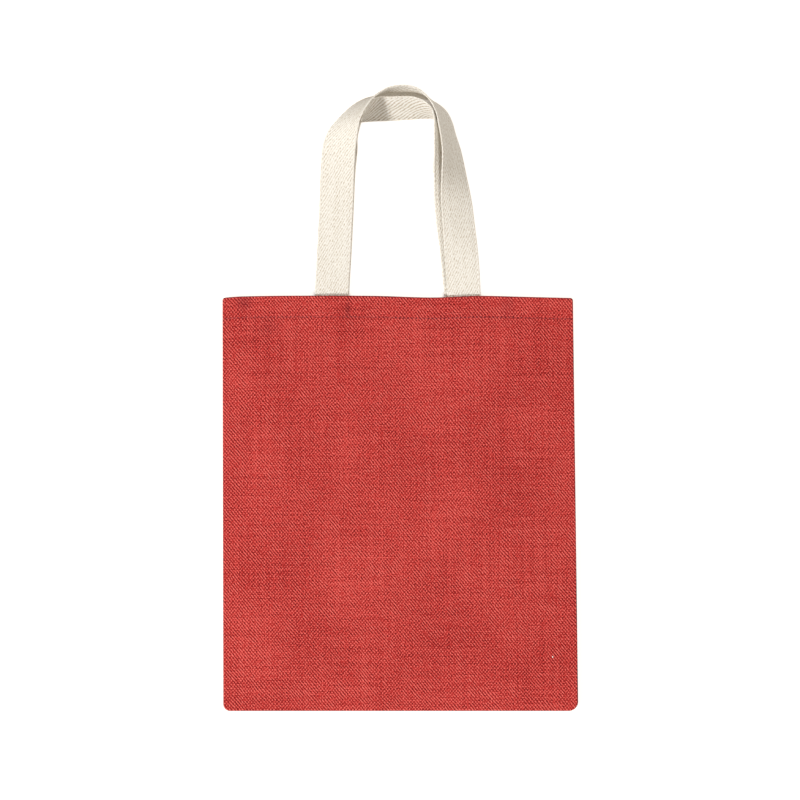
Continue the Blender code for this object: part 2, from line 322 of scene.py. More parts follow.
def panel(name, height, inwards, steps):
    """One panel, with its flat cloth's own coordinates in metres as its UV map.

    inwards is +1 where the inside of the bag is above the cloth and -1 where it is below.
    The grid's outer cells are rings round the panel: first those of each rounded corner,
    then the fold's bend, then the turned-in run, which is clipped away at the corners.
    """
    bend_cells = CORNER_STEPS + BEND_STEPS
    allowance_ring = bend_cells + ALLOWANCE_STEPS
    hem_ring = bend_cells + HEM_STEPS
    columns = 2 * allowance_ring + steps[0]
    rows = allowance_ring + steps[1] + hem_ring
    seams = [0.0] * (CORNER_STEPS + 1) + fold_stations(EDGE_BEND, ALLOWANCE, ALLOWANCE_STEPS)
    hems = [0.0] * (CORNER_STEPS + 1) + fold_stations(HEM_BEND, HEM_DEPTH, HEM_STEPS)

    def rings(i, j):
        """How many rings past the panel's plain middle: to the side, bottom and mouth."""
        aside = max(allowance_ring - i, i - (columns - allowance_ring), 0)
        return aside, max(allowance_ring - j, 0), max(j - (rows - hem_ring), 0)

    def place(i, j):
        """The middle of the cloth, and its place on the flat cut, at a column and row."""
        aside, below, above = rings(i, j)
        hand = "left" if i < columns / 2 else "right"
        ring = max(aside, below, above)
        fold = max(below, above)
        turn = pi / 4 * min(aside, fold) / ring if ring else 0.0
        if fold > aside:
            turn = pi / 2 - turn
        share = sin(turn) ** 2 if above else 0.0
        over = seams[min(ring, allowance_ring)] * (1 - share) + hems[ring] * share
        out, drop = turned(over, EDGE_BEND * (1 - share) + HEM_BEND * share)

        bottom_round = CORNER_RADIUS[hand] - EDGE_REACH
        inner_rows = spread(BOTTOM_LINE + bottom_round, MOUTH_LINE - MOUTH_ROUND, steps[1])
        y = inner_rows[min(max(j - allowance_ring, 0), steps[1])]
        mouthward = (y - inner_rows[0]) / (inner_rows[-1] - inner_rows[0])
        corner = bottom_round + mouthward * (MOUTH_ROUND - bottom_round)
        flat_radius = corner * min(ring / CORNER_STEPS, 1.0)
        radius = flat_radius + out
        left, right = side_edges(y)
        if aside:
            x = left + corner if hand == "left" else right - corner
            outwards = 1 if hand == "right" else -1
        else:
            x = spread(left + corner, right - corner, steps[0])[i - allowance_ring]
            outwards = 0
        upwards = (1 if above else -1) if fold else 0
        flat = (
            x + outwards * (flat_radius + over) * cos(turn),
            y + upwards * (flat_radius + over) * sin(turn),
        )
        x += outwards * radius * cos(turn)
        y += upwards * radius * sin(turn)
        surface = height(min(max(x, left), right), min(max(y, BOTTOM_LINE), MOUTH_LINE))
        wave = smooth_row(MOUTH_WAVE, x)[0] * mouthward
        return Vector((x, y + wave, surface + inwards * drop)), flat

    def kept(i, j):
        """Whether the cell between this column and row and the next ones is cloth."""
        aside, below, above = (max(pair) for pair in zip(rings(i, j), rings(i + 1, j + 1)))
        if aside and max(below, above) > bend_cells:
            return False
        past_allowance = place(columns // 2, j + 1)[0].y > MOUTH_LINE - ALLOWANCE_STOP
        return not (aside > bend_cells and (below or past_allowance))

    sheet = bmesh.new()
    bmesh.ops.create_grid(sheet, x_segments=columns, y_segments=rows, size=1.0)
    flat_map = sheet.loops.layers.uv.new("cloth")
    clipped = []
    for face in sheet.faces:
        middle = face.calc_center_median()
        i = int((middle.x + 1) / 2 * columns)
        j = int((middle.y + 1) / 2 * rows)
        if not kept(i, j):
            clipped.append(face)
    flats = {}
    for vert in sheet.verts:
        i = round((vert.co.x + 1) / 2 * columns)
        j = round((vert.co.y + 1) / 2 * rows)
        vert.co, flats[vert] = place(i, j)
    for face in sheet.faces:
        for loop in face.loops:
            loop[flat_map].uv = flats[loop.vert]
    bmesh.ops.delete(sheet, geom=clipped, context="FACES")
    return finished(name, sheet, CLOTH)


def finished(name, sheet, thickness):
    """The sheet as a named piece of cloth with its thickness to both sides."""
    mesh = bpy.data.meshes.new(name)
    sheet.to_mesh(mesh)
    sheet.free()
    mesh.shade_smooth()
    piece = scene_object(name, mesh)
    wall = piece.modifiers.new("thickness", "SOLIDIFY")
    wall.thickness = thickness
    wall.offset = 0.0
    wall.use_even_offset = True
    return piece


class Wire:
    """A shader value: a socket or a number, on which sums add Math nodes."""

    def __init__(self, tree, source):
        self.tree, self.source = tree, source

    def node(self, kind, settings=None, out=0, **values):
        """A new node's output; settings first, then the values or links of its sockets."""
        made = self.tree.nodes.new(kind)
        for key, value in (settings or {}).items():
            if key == "stops":
                elements = made.color_ramp.elements
                elements[0].position, elements[1].position = value[0][0], value[-1][0]
                for spot, _ in value[1:-1]:
                    elements.new(spot)
                for element, (_, colour) in zip(elements, value):
                    element.color = (*colour, 1.0)
            else:
                setattr(made, key, value)
        for key, value in values.items():
            socket = made.inputs[int(key[1:]) if key[0] == "i" and key[1:].isdigit() else key]
            value = value.source if isinstance(value, Wire) else value
            if isinstance(value, bpy.types.NodeSocket):
                self.tree.links.new(value, socket)
            elif value is not None:
                socket.default_value = value
        return Wire(self.tree, made.outputs[out])

    def maths(self, operation, *values, clamp=False):
        """A Math node on values or links, in the order of its sockets."""
        named = {f"i{k}": value for k, value in enumerate(values)}
        settings = {"operation": operation, "use_clamp": clamp}
        return self.node("ShaderNodeMath", settings, **named)

    def __add__(self, other):
        return self.maths("ADD", self, other)

    def __sub__(self, other):
        return self.maths("SUBTRACT", self, other)

    def __rsub__(self, other):
        return self.maths("SUBTRACT", other, self)

    def __mul__(self, other):
        return self.maths("MULTIPLY", self, other)

    def __truediv__(self, other):
        return self.maths("DIVIDE", self, other)

    def __pow__(self, other):
        return self.maths("POWER", self, other)

    __radd__ = __add__
    __rmul__ = __mul__

    def cos(self):
        return self.maths("COSINE", self)

    def size(self):
        return self.maths("ABSOLUTE", self)

    def held(self):
        """The value kept between 0 and 1."""
        return self.maths("ADD", self, 0.0, clamp=True)


CLOTH_SHEEN = 0.25


def cloth_coordinates(material_name, roughness):
    """A new cloth material, and its flat cloth's coordinates in metres."""
    finish = bpy.data.materials.new(material_name)
    finish.use_nodes = True
    tree = finish.node_tree
    shader = tree.nodes["Principled BSDF"]
    shader.inputs["Roughness"].default_value = roughness
    shader.inputs["Specular IOR Level"].default_value = CLOTH_SHEEN
    start = Wire(tree, None)
    place = start.node("ShaderNodeUVMap", {"uv_map": "cloth"})
    across = start.node("ShaderNodeSeparateXYZ", Vector=place)
    along = Wire(tree, across.source.node.outputs[1])
    return finish, shader, place, across, along


def noise(place, detail, cells, shift=(0.0, 0.0, 0.0)):
    """Soft noise from 0 to 1; cells is how many there are in a metre, across and along."""
    place = place.node("ShaderNodeMapping", Vector=place, Scale=cells, Location=shift)
    return place.node("ShaderNodeTexNoise", Vector=place, Scale=1.0, Detail=detail)


def mixed(factor, first, second):
    """Two colours mixed by a value over the surface."""
    settings = {"data_type": "RGBA"}
    return factor.node("ShaderNodeMix", settings, out=2, i0=factor, i6=first, i7=second)


def link(finish, wire, socket):
    """A wire led into a socket of the finish."""
    finish.node_tree.links.new(wire.source, socket)


BURLAP_ROUGHNESS = 0.92
WARP_PITCH = 1.60 * MM
WEFT_PITCH = 1.93 * MM
WARP_WANDER = 2.6 * MM
WEFT_WANDER = 2.9 * MM
# Of the two diagonals that the floats make, the falling one shows more nearly everywhere
FALL_MIDDLE = 0.74
FALL_SWING = 2.0
FALL_LEAST = 0.44
FLOAT_SWING = 1.6
FLOAT_LEAST = 0.2
# How many lumps each noise has in a metre of cloth: across, along
WARP_DRIFT_CELLS = (42.0, 12.0, 1.0)
WEFT_DRIFT_CELLS = (12.0, 42.0, 1.0)
FALL_CELLS = (62.0, 50.0, 1.0)
FLOAT_CELLS = (300.0, 260.0, 1.0)
FIBRE_CELLS = (760.0, 640.0, 1.0)
WARP_CELLS = (620.0, 9.0, 1.0)
WEFT_CELLS = (11.0, 510.0, 1.0)
MOTTLE_CELLS = (13.0, 10.0, 1.0)
# How far each part of the weave moves the colour from its middle tone
WEAVE_TONE = 0.47
PIT_TONE = 0.34
FIBRE_TONE = 2.1
WARP_TONE = 0.40
WEFT_TONE = 0.50
MOTTLE_TONE = 0.34
BURLAP_TONE = 0.555
# How much each part of the weave counts in the cloth's relief
WEAVE_HEIGHT = 0.5
PIT_HEIGHT = 0.6
FIBRE_HEIGHT = 0.8
THREAD_HEIGHT = 0.6
PIT_RED = (0.160, 0.0045, 0.0050)
MID_RED = (0.525, 0.0315, 0.0275)
TOP_RED = (0.860, 0.1600, 0.1350)
# Painted shade and its size and strength: needle's holes, stitch groove, folded edges
SHADE_RED = (0.120, 0.0080, 0.0150)
HOLE_RADIUS = 0.85 * MM
HOLE_PAINTED_SHADE = 0.85
GROOVE_SHADE = 0.8 * MM
GROOVE_PAINTED_SHADE = 0.16
EDGE_SHADE = 1.1 * MM
EDGE_PAINTED_SHADE = 0.85
# The painted shade of the holes and of the folded edges comes and goes: cells to a metre,
# shift of the noise, the noise at which it starts to show, and how sharply it does
HOLE_PATCHES = ((30.0, 30.0, 1.0), (4.0, 4.0, 0.0), 0.30, 5.0)
EDGE_PATCHES = ((24.0, 24.0, 1.0), (8.0, 3.0, 0.0), 0.34, 3.5)
SHADE_MARKS = (
    # x, y, half width, half height, depth of the painted shade patches round the hem, darker
    # and purplish
    (-158.0 * MM, 204.5 * MM, 7.5 * MM, 7.5 * MM, 0.34),
    (-53.0 * MM, 196.5 * MM, 2.6 * MM, 7.0 * MM, 0.36),
    (109.0 * MM, 197.5 * MM, 7.0 * MM, 11.0 * MM, 0.20),
    (-132.0 * MM, 178.0 * MM, 10.0 * MM, 7.5 * MM, 0.16),
)
LINT_SPOT = (154.9 * MM, -155.0 * MM)
LINT_RADIUS = 0.60 * MM
LINT_COLOUR = (0.9, 0.82, 0.75, 1.0)
BURLAP_RELIEF = 0.28 * MM


def soft_spot(distance, radius):
    """A value that is 1 at a distance of nought and fades to 0 a little past the radius."""
    return (1.5 - distance / radius).held()


def patches(place, cells, shift, start, sharpness):
    """Soft patches of the cloth: 1 where the noise is well over its start, 0 under it."""
    return ((noise(place, 1.0, cells, shift) - start) * sharpness).held()


def burlap(name):
    """Red-dyed plain weave: uneven threads, dark pits between them, and a soft mottle."""
    finish, shader, place, across, along = cloth_coordinates(name, BURLAP_ROUGHNESS)
    drift_x = noise(place, 2.0, WARP_DRIFT_CELLS) - 0.5
    drift_y = noise(place, 2.0, WEFT_DRIFT_CELLS, (3.1, 7.7, 0.0)) - 0.5
    warp = (across + drift_x * WARP_WANDER) * (pi / WARP_PITCH)
    weft = (along + drift_y * WEFT_WANDER) * (pi / WEFT_PITCH)
    lean = noise(place, 2.0, FALL_CELLS, (1.7, 2.9, 0.0))
    fall_share = ((lean - 0.5) * FALL_SWING + FALL_MIDDLE).held()
    fall_share = fall_share.maths("MAXIMUM", fall_share, FALL_LEAST)
    strength = noise(place, 1.0, FLOAT_CELLS, (2.0, 6.0, 0.0)) * FLOAT_SWING + FLOAT_LEAST
    weave = (warp + weft).cos() * fall_share + (warp - weft).cos() * (1.0 - fall_share)
    weave = weave * strength
    pits = (1.0 - warp.cos() ** 2.0) * (1.0 - weft.cos() ** 2.0)
    fibres = noise(place, 2.0, FIBRE_CELLS)
    warp_threads = noise(place, 2.0, WARP_CELLS)
    weft_threads = noise(place, 2.0, WEFT_CELLS, (5.0, 1.0, 0.0))
    mottle = noise(place, 3.0, MOTTLE_CELLS, (9.0, 4.0, 0.0))
    bumps = weave * WEAVE_TONE - pits * PIT_TONE + (fibres - 0.5) * FIBRE_TONE
    threads = (warp_threads - 0.5) * WARP_TONE + (weft_threads - 0.5) * WEFT_TONE
    level = (bumps + threads + (mottle - 0.5) * MOTTLE_TONE + BURLAP_TONE).held()
    stops = ((0.0, PIT_RED), (0.5, MID_RED), (1.0, TOP_RED))
    colour = level.node("ShaderNodeValToRGB", {"stops": stops}, i0=level)

    # Painted shade in the needle's holes, in the groove they lie in and along each folded
    # edge
    hole_phase = across / STITCH_PITCH
    hole_x = (hole_phase - hole_phase.maths("ROUND", hole_phase)) * STITCH_PITCH
    hole_y = along - STITCH_LINE
    hole = soft_spot((hole_x * hole_x + hole_y * hole_y) ** 0.5, HOLE_RADIUS)
    seen = patches(place, *HOLE_PATCHES)
    groove = soft_spot(hole_y.size(), GROOVE_SHADE) * GROOVE_PAINTED_SHADE
    # Painted shade along the folded mouth edge and along the right side's fold
    mouth_edge_shade = soft_spot((along - HALF_LENGTH).size(), EDGE_SHADE)
    right_side = RIGHT_EDGE["top"] - HALF_LENGTH * RIGHT_LEAN - across + along * RIGHT_LEAN
    right_edge_shade = soft_spot(right_side.size(), EDGE_SHADE)
    edge_shades = (mouth_edge_shade + right_edge_shade) * patches(place, *EDGE_PATCHES) * EDGE_PAINTED_SHADE
    shade = hole * seen * HOLE_PAINTED_SHADE + groove + edge_shades
    # Painted shade patches round the hem
    for mark_x, mark_y, wide, high, depth in SHADE_MARKS:
        off_x, off_y = (across - mark_x) / wide, (along - mark_y) / high
        shade = shade + (1.0 - (off_x * off_x + off_y * off_y) * 0.5).held() * depth
    colour = mixed(shade.held(), colour, (*SHADE_RED, 1.0))

    lint_x, lint_y = across - LINT_SPOT[0], along - LINT_SPOT[1]
    lint = soft_spot((lint_x * lint_x + lint_y * lint_y * 0.5) ** 0.5, LINT_RADIUS)
    colour = mixed(lint, colour, LINT_COLOUR)
    link(finish, colour, shader.inputs["Base Color"])
    height = weave * WEAVE_HEIGHT - pits * PIT_HEIGHT + (fibres - 0.5) * FIBRE_HEIGHT
    height = height + threads * THREAD_HEIGHT - hole * seen
    bump = height.node("ShaderNodeBump", Strength=0.55, Distance=BURLAP_RELIEF, Height=height)
    link(finish, bump, shader.inputs["Normal"])
    return finish


FRONT_CELLS = (150, 170)
BACK_CELLS = (60, 70)

red_burlap = burlap("red_burlap")

back_cloth = panel("back_burlap", back_height, 1, BACK_CELLS)
back_cloth.data.materials.append(red_burlap)
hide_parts("back_panel")
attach(back_cloth, "root")

front_cloth = panel("front_burlap", front_height, -1, FRONT_CELLS)
front_cloth.data.materials.append(red_burlap)
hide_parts("front_panel")
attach(front_cloth, "root")


# --- The handles -----------------------------------------------------------------------
# Two lengths of cream cotton twill webbing, 35 mm wide, with a firm rounded selvedge along
# both edges. Each one's ends are sewn inside its panel's hem, and its top stands on edge:
# the back one's leans outwards, inside the front one's.

WEBBING_WIDTH = 34.4 * MM
WEBBING = 1.7 * MM
FRONT_WEBBING_CUT = (0.0344, 0.526)
BACK_WEBBING_CUT = (0.0344, 0.501)
BACK_STRAP_LEVEL = CLOTH + FOLD_GAP + CLOTH + PIECE_GAP + WEBBING / 2
FRONT_SEAT = (BACK_STRAP_LEVEL + WEBBING + PIECE_GAP) / MM
BACK_SEAT = BACK_STRAP_LEVEL / MM

# Each handle from its left end to its right one, in mm. The inner edge is drawn to the
# webbing's width from the outer edge, so its columns give the way that the webbing faces.
FRONT_HANDLE = (
    # outer edge x, y, z, inner edge x, y, z
    (-87.2, 190.0, FRONT_SEAT, -52.8, 190.2, FRONT_SEAT),
    (-86.8, 206.0, FRONT_SEAT, -52.4, 206.0, FRONT_SEAT),
    (-86.7, 212.0, FRONT_SEAT, -52.3, 212.0, FRONT_SEAT),
    (-84.2, 258.0, 4.8, -49.8, 257.3, 4.8),
    (-81.7, 307.0, 6.5, -47.3, 306.0, 7.5),
    (-80.3, 338.0, 11.0, -45.6, 335.5, 14.5),
    (-78.5, 358.0, 14.0, -44.4, 352.0, 19.5),
    (-75.0, 371.5, 15.5, -43.2, 361.0, 26.5),
    (-69.0, 382.0, 16.0, -42.0, 370.0, 35.0),
    (-60.0, 392.0, 16.0, -40.2, 380.5, 42.7),
    (-50.6, 401.0, 15.0, -37.0, 389.5, 45.0),
    (-41.5, 407.5, 13.0, -33.0, 397.0, 45.0),
    (-31.5, 412.0, 10.0, -27.2, 405.0, 44.0),
    (-20.0, 413.8, 6.0, -19.5, 412.0, 41.0),
    (-8.5, 414.6, 3.0, -10.0, 417.5, 38.0),
    (3.0, 414.6, 0.3, 3.0, 419.8, 35.0),
    (15.5, 413.8, 0.3, 14.0, 418.0, 35.0),
    (26.0, 412.3, 0.3, 22.5, 413.0, 35.0),
    (37.0, 408.0, 0.3, 30.8, 403.7, 34.5),
    (46.5, 400.5, 0.5, 36.2, 392.0, 32.8),
    (52.5, 390.0, 0.6, 38.8, 379.0, 31.0),
    (57.0, 375.0, 0.6, 41.3, 365.0, 30.3),
    (62.2, 359.0, 0.7, 42.4, 351.0, 27.7),
    (68.0, 333.0, 0.7, 41.6, 328.0, 22.3),
    (73.2, 307.5, 1.5, 41.7, 303.5, 14.7),
    (76.6, 281.0, 2.5, 43.7, 278.0, 11.5),
    (79.3, 256.5, 4.6, 45.1, 254.5, 8.3),
    (81.2, 230.0, 5.9, 46.8, 229.0, 6.8),
    (81.9, 212.0, FRONT_SEAT, 47.5, 212.0, FRONT_SEAT),
    (82.0, 206.0, FRONT_SEAT, 47.6, 205.8, FRONT_SEAT),
    (82.4, 190.0, FRONT_SEAT, 48.0, 189.6, FRONT_SEAT),
)
BACK_HANDLE = (
    # outer edge x, y, z, inner edge x, y, z
    (-86.7, 190.0, BACK_SEAT, -52.3, 190.2, BACK_SEAT),
    (-86.3, 206.0, BACK_SEAT, -51.9, 206.0, BACK_SEAT),
    (-86.2, 212.0, BACK_SEAT, -51.8, 212.0, BACK_SEAT),
    (-83.7, 258.0, 1.0, -49.3, 257.4, 1.0),
    (-81.3, 307.0, 1.0, -46.9, 306.0, 1.0),
    (-80.0, 335.0, 1.0, -45.0, 333.5, 1.5),
    (-78.3, 352.0, 1.0, -43.8, 346.0, 4.0),
    (-74.5, 366.0, 0.9, -43.0, 354.0, 10.0),
    (-68.0, 376.0, 0.8, -42.5, 361.5, 20.0),
    (-60.0, 383.0, 0.6, -42.0, 369.5, 28.3),
    (-51.0, 387.0, 0.4, -40.0, 379.0, 33.0),
    (-42.0, 388.8, 0.3, -36.5, 390.0, 35.0),
    (-32.0, 389.6, 0.3, -30.0, 404.0, 32.4),
    (-21.0, 390.0, 0.5, -21.5, 409.3, 29.4),
    (-10.0, 390.4, 0.5, -10.5, 409.3, 29.0),
    (2.0, 391.0, 0.5, 2.0, 409.5, 29.0),
    (14.0, 391.8, 0.5, 13.0, 408.9, 30.0),
    (24.0, 392.6, 0.4, 22.5, 405.4, 32.4),
    (34.5, 392.8, 0.3, 31.1, 397.8, 34.8),
    (43.0, 390.0, 0.4, 34.0, 386.5, 34.0),
    (49.5, 384.0, 0.5, 34.0, 378.0, 31.3),
    (53.0, 374.0, 0.6, 34.0, 367.5, 29.0),
    (57.0, 360.6, 0.7, 34.0, 354.0, 26.0),
    (60.5, 344.0, 0.8, 34.0, 338.5, 21.6),
    (64.3, 328.0, 0.9, 34.2, 323.5, 17.0),
    (67.4, 309.6, 1.0, 35.0, 307.0, 12.0),
    (70.4, 289.0, 1.0, 36.7, 287.0, 7.5),
    (75.3, 256.5, 1.0, 40.9, 254.5, 2.4),
    (79.4, 212.5, BACK_SEAT, 45.0, 212.0, BACK_SEAT),
    (79.6, 206.0, BACK_SEAT, 45.2, 205.8, BACK_SEAT),
    (80.0, 190.0, BACK_SEAT, 45.6, 189.6, BACK_SEAT),
)
WEBBING_SECTION = (
    # share of the width from one edge, half thickness as a share of the webbing's
    (0.000, 0.00),
    (0.004, 0.55),
    (0.014, 0.88),
    (0.030, 1.00),
    (0.050, 0.92),
    (0.064, 0.74),
    (0.080, 0.88),
    (0.200, 0.94),
    (0.350, 0.96),
    (0.500, 0.97),
    (0.650, 0.96),
    (0.800, 0.94),
    (0.920, 0.88),
    (0.936, 0.74),
    (0.950, 0.92),
    (0.970, 1.00),
    (0.986, 0.88),
    (0.996, 0.55),
    (1.000, 0.00),
)
STRAP_STEPS = 420
HEADING_REACH = 0.5


def handle(name, rows):
    """One length of webbing: its section swept along the two edges in the table."""
    middles = [Vector(row[:3]).lerp(Vector(row[3:]), 0.5) for row in rows]
    runs = [0.0]
    for start, end in zip(middles, middles[1:]):
        runs.append(runs[-1] + (end - start).length)
    table = [(run, *row) for run, row in zip(runs, rows)]
    top = list(WEBBING_SECTION)
    under = [(share, -height) for share, height in reversed(WEBBING_SECTION[1:-1])]
    section = top + under
    # Widths on the UV map run from 0 to 1 over the face, and on to 2 back over the reverse
    around = [share for share, _ in top] + [2 - share for share, _ in under] + [2]

    def edge_pair(along):
        """The outer edge and the way across the webbing, at a length in millimetres."""
        edges = smooth_row(table, along)
        outer, inner = Vector(edges[:3]) * MM, Vector(edges[3:]) * MM
        return outer, (inner - outer).normalized()

    strip = bmesh.new()
    flat_map = strip.loops.layers.uv.new("cloth")
    hoops = []
    for step in range(STRAP_STEPS + 1):
        along = runs[-1] * step / STRAP_STEPS
        outer, across = edge_pair(along)
        ahead = edge_pair(min(along + HEADING_REACH, runs[-1]))
        behind = edge_pair(max(along - HEADING_REACH, 0.0))
        reach = WEBBING_WIDTH / 2
        forward = ahead[0] + ahead[1] * reach - behind[0] - behind[1] * reach
        up = across.cross(forward).normalized()
        hoop = []
        for share, height in section:
            spot = outer + across * (share * WEBBING_WIDTH) + up * (height * WEBBING / 2)
            hoop.append(strip.verts.new(spot))
        hoops.append(hoop)
    for step in range(STRAP_STEPS):
        hoop, further = hoops[step], hoops[step + 1]
        for k in range(len(section)):
            after = (k + 1) % len(section)
            face = strip.faces.new((hoop[k], hoop[after], further[after], further[k]))
            face.smooth = True
            sides = (around[k], around[k + 1], around[k + 1], around[k])
            for loop, side, forth in zip(face.loops, sides, (0, 0, 1, 1)):
                along = runs[-1] * MM * (step + forth) / STRAP_STEPS
                loop[flat_map].uv = (side * WEBBING_WIDTH, along)
    for hoop in (hoops[0], hoops[-1]):
        cap = strip.faces.new(hoop)
        for loop in cap.loops:
            loop[flat_map].uv = (0.5 * WEBBING_WIDTH, 0.0)
    bmesh.ops.recalc_face_normals(strip, faces=strip.faces)
    mesh = bpy.data.meshes.new(name)
    strip.to_mesh(mesh)
    strip.free()
    return scene_object(name, mesh)


WEBBING_ROUGHNESS = 0.88
YARN = 0.87 * MM
TWILL_REPEAT = 5.1 * MM
# The share of a repeat that a diagonal of the face steps back at each yarn, and how far
# apart the diagonals of the reverse are, across the webbing
FACE_STEP = 1.0 / 3.0
REVERSE_LINE = 4.4 * MM
STEPPED_SHARE = 0.6
TWILL_SLIP = 1.1
SELVEDGE_START = 0.90
RIB_PITCH = 1.1 * MM
RIB_HEIGHT = 0.5
YARN_HEIGHT = 0.18
FACE_TONE = 0.26
REVERSE_TONE = 0.40
WEBBING_FIBRE_TONE = 1.3
BAND_TONE = 0.30
WEBBING_MOTTLE_TONE = 0.16
SLIP_CELLS = (90.0, 45.0, 1.0)
WEBBING_FIBRE_CELLS = (820.0, 420.0, 1.0)
BAND_CELLS = (260.0, 6.0, 1.0)
WEBBING_MOTTLE_CELLS = (60.0, 22.0, 1.0)
CREAM_LOW = (0.500, 0.415, 0.300)
CREAM_MID = (0.872, 0.838, 0.758)
CREAM_TOP = (0.980, 0.965, 0.920)
FLECK_BROWN = (0.180, 0.120, 0.080)
FLECK_STRENGTH = 0.6
FLECK_CELLS = 95.0
FLECK_RADIUS = 0.045
FLECK_CHANCE = 0.60
FLECK_CHANCE_CELLS = (210.0, 210.0, 1.0)
WEBBING_RELIEF = 0.22 * MM


def twill(name):
    """Cream cotton twill: steep diagonals, wider apart on its reverse, and a few flecks."""
    finish, shader, place, around, along = cloth_coordinates(name, WEBBING_ROUGHNESS)
    reverse = around.maths("GREATER_THAN", around, WEBBING_WIDTH)
    across = WEBBING_WIDTH - (around - WEBBING_WIDTH).size()
    yarns = across / YARN
    yarn_number = yarns.maths("FLOOR", yarns)
    step_back = reverse * (YARN / REVERSE_LINE - FACE_STEP) + FACE_STEP
    slip = (noise(place, 2.0, SLIP_CELLS, (6.0, 1.0, 0.0)) - 0.5) * TWILL_SLIP
    float_phase = (along / TWILL_REPEAT - yarn_number * step_back + slip) * (2 * pi)
    diagonal = (along / TWILL_REPEAT - yarns * step_back + slip) * (2 * pi)
    yarn_round = (yarns * (2 * pi) - pi).cos()
    floats = float_phase.cos() * STEPPED_SHARE + diagonal.cos() * (1 - STEPPED_SHARE)
    edge = (across - WEBBING_WIDTH / 2).size()
    selvedge = edge.maths("GREATER_THAN", edge, WEBBING_WIDTH / 2 * SELVEDGE_START)
    ribs = (along * (2 * pi / RIB_PITCH)).cos()
    relief = floats * (1.0 - selvedge) + ribs * selvedge * RIB_HEIGHT
    relief = relief + yarn_round * YARN_HEIGHT
    fibres = noise(place, 2.0, WEBBING_FIBRE_CELLS)
    bands = noise(place, 2.0, BAND_CELLS, (2.0, 5.0, 0.0))
    mottle = noise(place, 2.0, WEBBING_MOTTLE_CELLS, (7.0, 2.0, 0.0))
    wear = (fibres - 0.5) * WEBBING_FIBRE_TONE + (bands - 0.5) * BAND_TONE
    wear = wear + (mottle - 0.5) * WEBBING_MOTTLE_TONE
    tone = reverse * (REVERSE_TONE - FACE_TONE) + FACE_TONE
    level = (relief * tone + wear + 0.5).held()
    stops = ((0.0, CREAM_LOW), (0.5, CREAM_MID), (1.0, CREAM_TOP))
    colour = level.node("ShaderNodeValToRGB", {"stops": stops}, i0=level)

    seeds = place.node("ShaderNodeTexVoronoi", Vector=place, Scale=FLECK_CELLS)
    chance = noise(place, 0.0, FLECK_CHANCE_CELLS, (11.0, 6.0, 0.0))
    fleck = seeds.maths("LESS_THAN", seeds, FLECK_RADIUS)
    fleck = fleck * chance.maths("GREATER_THAN", chance, FLECK_CHANCE)
    colour = mixed(fleck * FLECK_STRENGTH, colour, (*FLECK_BROWN, 1.0))
    link(finish, colour, shader.inputs["Base Color"])
    height = relief * 0.5 + (fibres - 0.5) * 0.5
    bump = height.node("ShaderNodeBump", Strength=0.5, Distance=WEBBING_RELIEF, Height=height)
    link(finish, bump, shader.inputs["Normal"])
    return finish


cream_webbing = twill("cream_webbing")
HANDLES = (
    # name, rows, cut size, node, what it lies on
    ("back_webbing", BACK_HANDLE, BACK_WEBBING_CUT, "back_handle", ["back_burlap"]),
    ("front_webbing", FRONT_HANDLE, FRONT_WEBBING_CUT, "front_handle", ["back_webbing"]),
)
for handle_name, handle_rows, handle_cut, handle_node, carrier in HANDLES:
    strap = handle(handle_name, handle_rows)
    strap.data.materials.append(cream_webbing)
    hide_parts(handle_node)
    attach(strap, "root")


# --- The sewing ------------------------------------------------------------------------
# Red thread. One row of lockstitch holds each hem down, and a short second row over each
# sewn-in end of the webbing holds the handles in.

THREAD = 0.55 * MM
STITCH_SHARE = 0.62
STITCH_CROWN = 0.75
ARC_SEGMENTS = 6
THREAD_SIDES = 6
HEM_ROW_INSET = 3 * MM
END_ROW = 193.4 * MM
END_ROW_INSET = 2 * MM
END_ROW_PITCH = STITCH_PITCH * 0.8
ROW_STEP = 2.0 * MM


